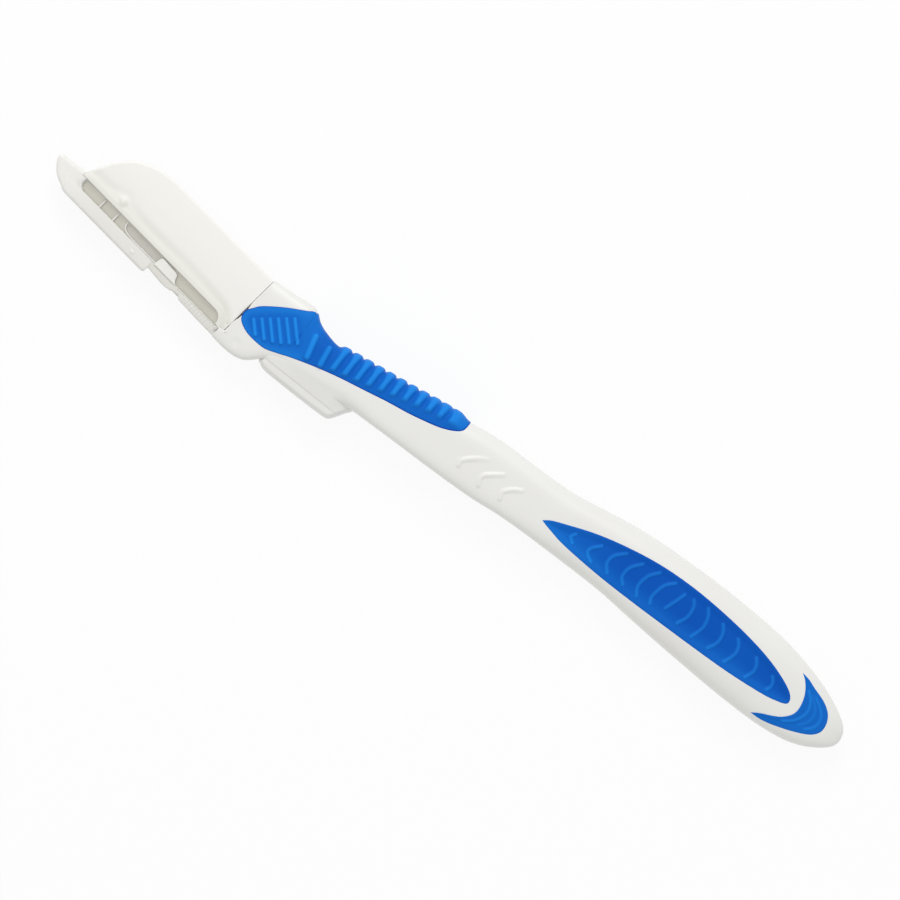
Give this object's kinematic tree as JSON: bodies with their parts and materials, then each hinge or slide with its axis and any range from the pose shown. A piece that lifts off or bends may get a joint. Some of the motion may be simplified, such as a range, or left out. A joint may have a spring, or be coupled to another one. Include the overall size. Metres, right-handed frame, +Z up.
{
  "type": "eyebrow razor",
  "caption": "Slim eyebrow razor: contoured two-colour handle with ribbed thumb grip and finger flange, flat blade holder with a bared blade edge, and a pull-off edge cover.",
  "frame": {"origin": "under the middle of the part's bounding box, on the plane that it rests on", "axes": "+X along the handle from the blade end to the tail, +Y toward the spine side, +Z up out of the face shown in the picture"},
  "size_m": [0.1552, 0.0172, 0.0086],
  "materials": {
    "white_plastic": "smooth satin white",
    "blue_rubber": "soft-touch moulded rubber, satin",
    "holder_plastic": "smooth satin ivory white",
    "blade_steel": "finely ground",
    "guard_plastic": "matt",
    "cover_plastic": "milky translucent"
  },
  "bodies": {
    "razor": {"handle_core": "white_plastic", "thumb_grip": "blue_rubber", "front_leaf_inlay": "blue_rubber", "back_leaf_inlay": "blue_rubber", "front_tail_inlay": "blue_rubber", "back_tail_inlay": "blue_rubber", "holder_front": "holder_plastic", "holder_back": "holder_plastic", "blade": "blade_steel", "edge_guard": "guard_plastic"},
    "cover": {"edge_cover": "cover_plastic"}
  },
  "joints": [
    {"name": "cover_slide", "type": "slide", "parent": "razor", "child": "cover", "axis": [-0.9886, 0.1504, 0], "range_m": [0, 0.04]}
  ]
}
